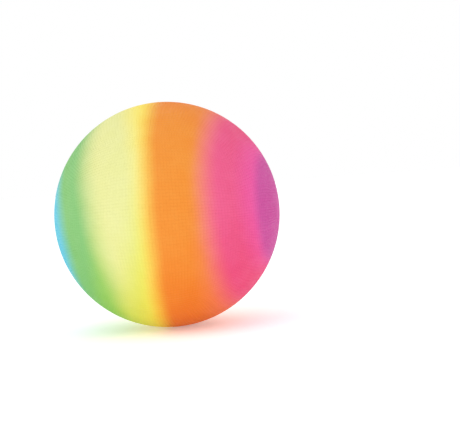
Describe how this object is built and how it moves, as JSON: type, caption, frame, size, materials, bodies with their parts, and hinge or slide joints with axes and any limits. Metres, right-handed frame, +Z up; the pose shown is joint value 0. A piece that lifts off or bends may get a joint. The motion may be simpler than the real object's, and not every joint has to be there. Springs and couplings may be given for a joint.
{
  "type": "inflatable play ball",
  "caption": "Seamless inflatable vinyl play ball with airbrushed rainbow rings, a finely moulded surface and a flush self-closing needle valve at one pole.",
  "frame": {"origin": "centre of the inflated ball", "axes": "the painted rings lie round the X axis, with the needle valve at the -X pole and the purple cap at the +X pole; +Z is up as the ball rests"},
  "size_m": [0.2285, 0.2286, 0.2286],
  "materials": {
    "painted_vinyl": "satin vinyl, airbrushed in six soft rings: blue, green, yellow, orange, pink and purple",
    "valve_vinyl": "satin, unpainted soft vinyl",
    "valve_rubber": "dull soft rubber"
  },
  "bodies": {
    "root": {"ball_skin": "painted_vinyl", "valve_seat": "valve_vinyl", "valve_core": "valve_rubber"}
  },
  "joints": []
}
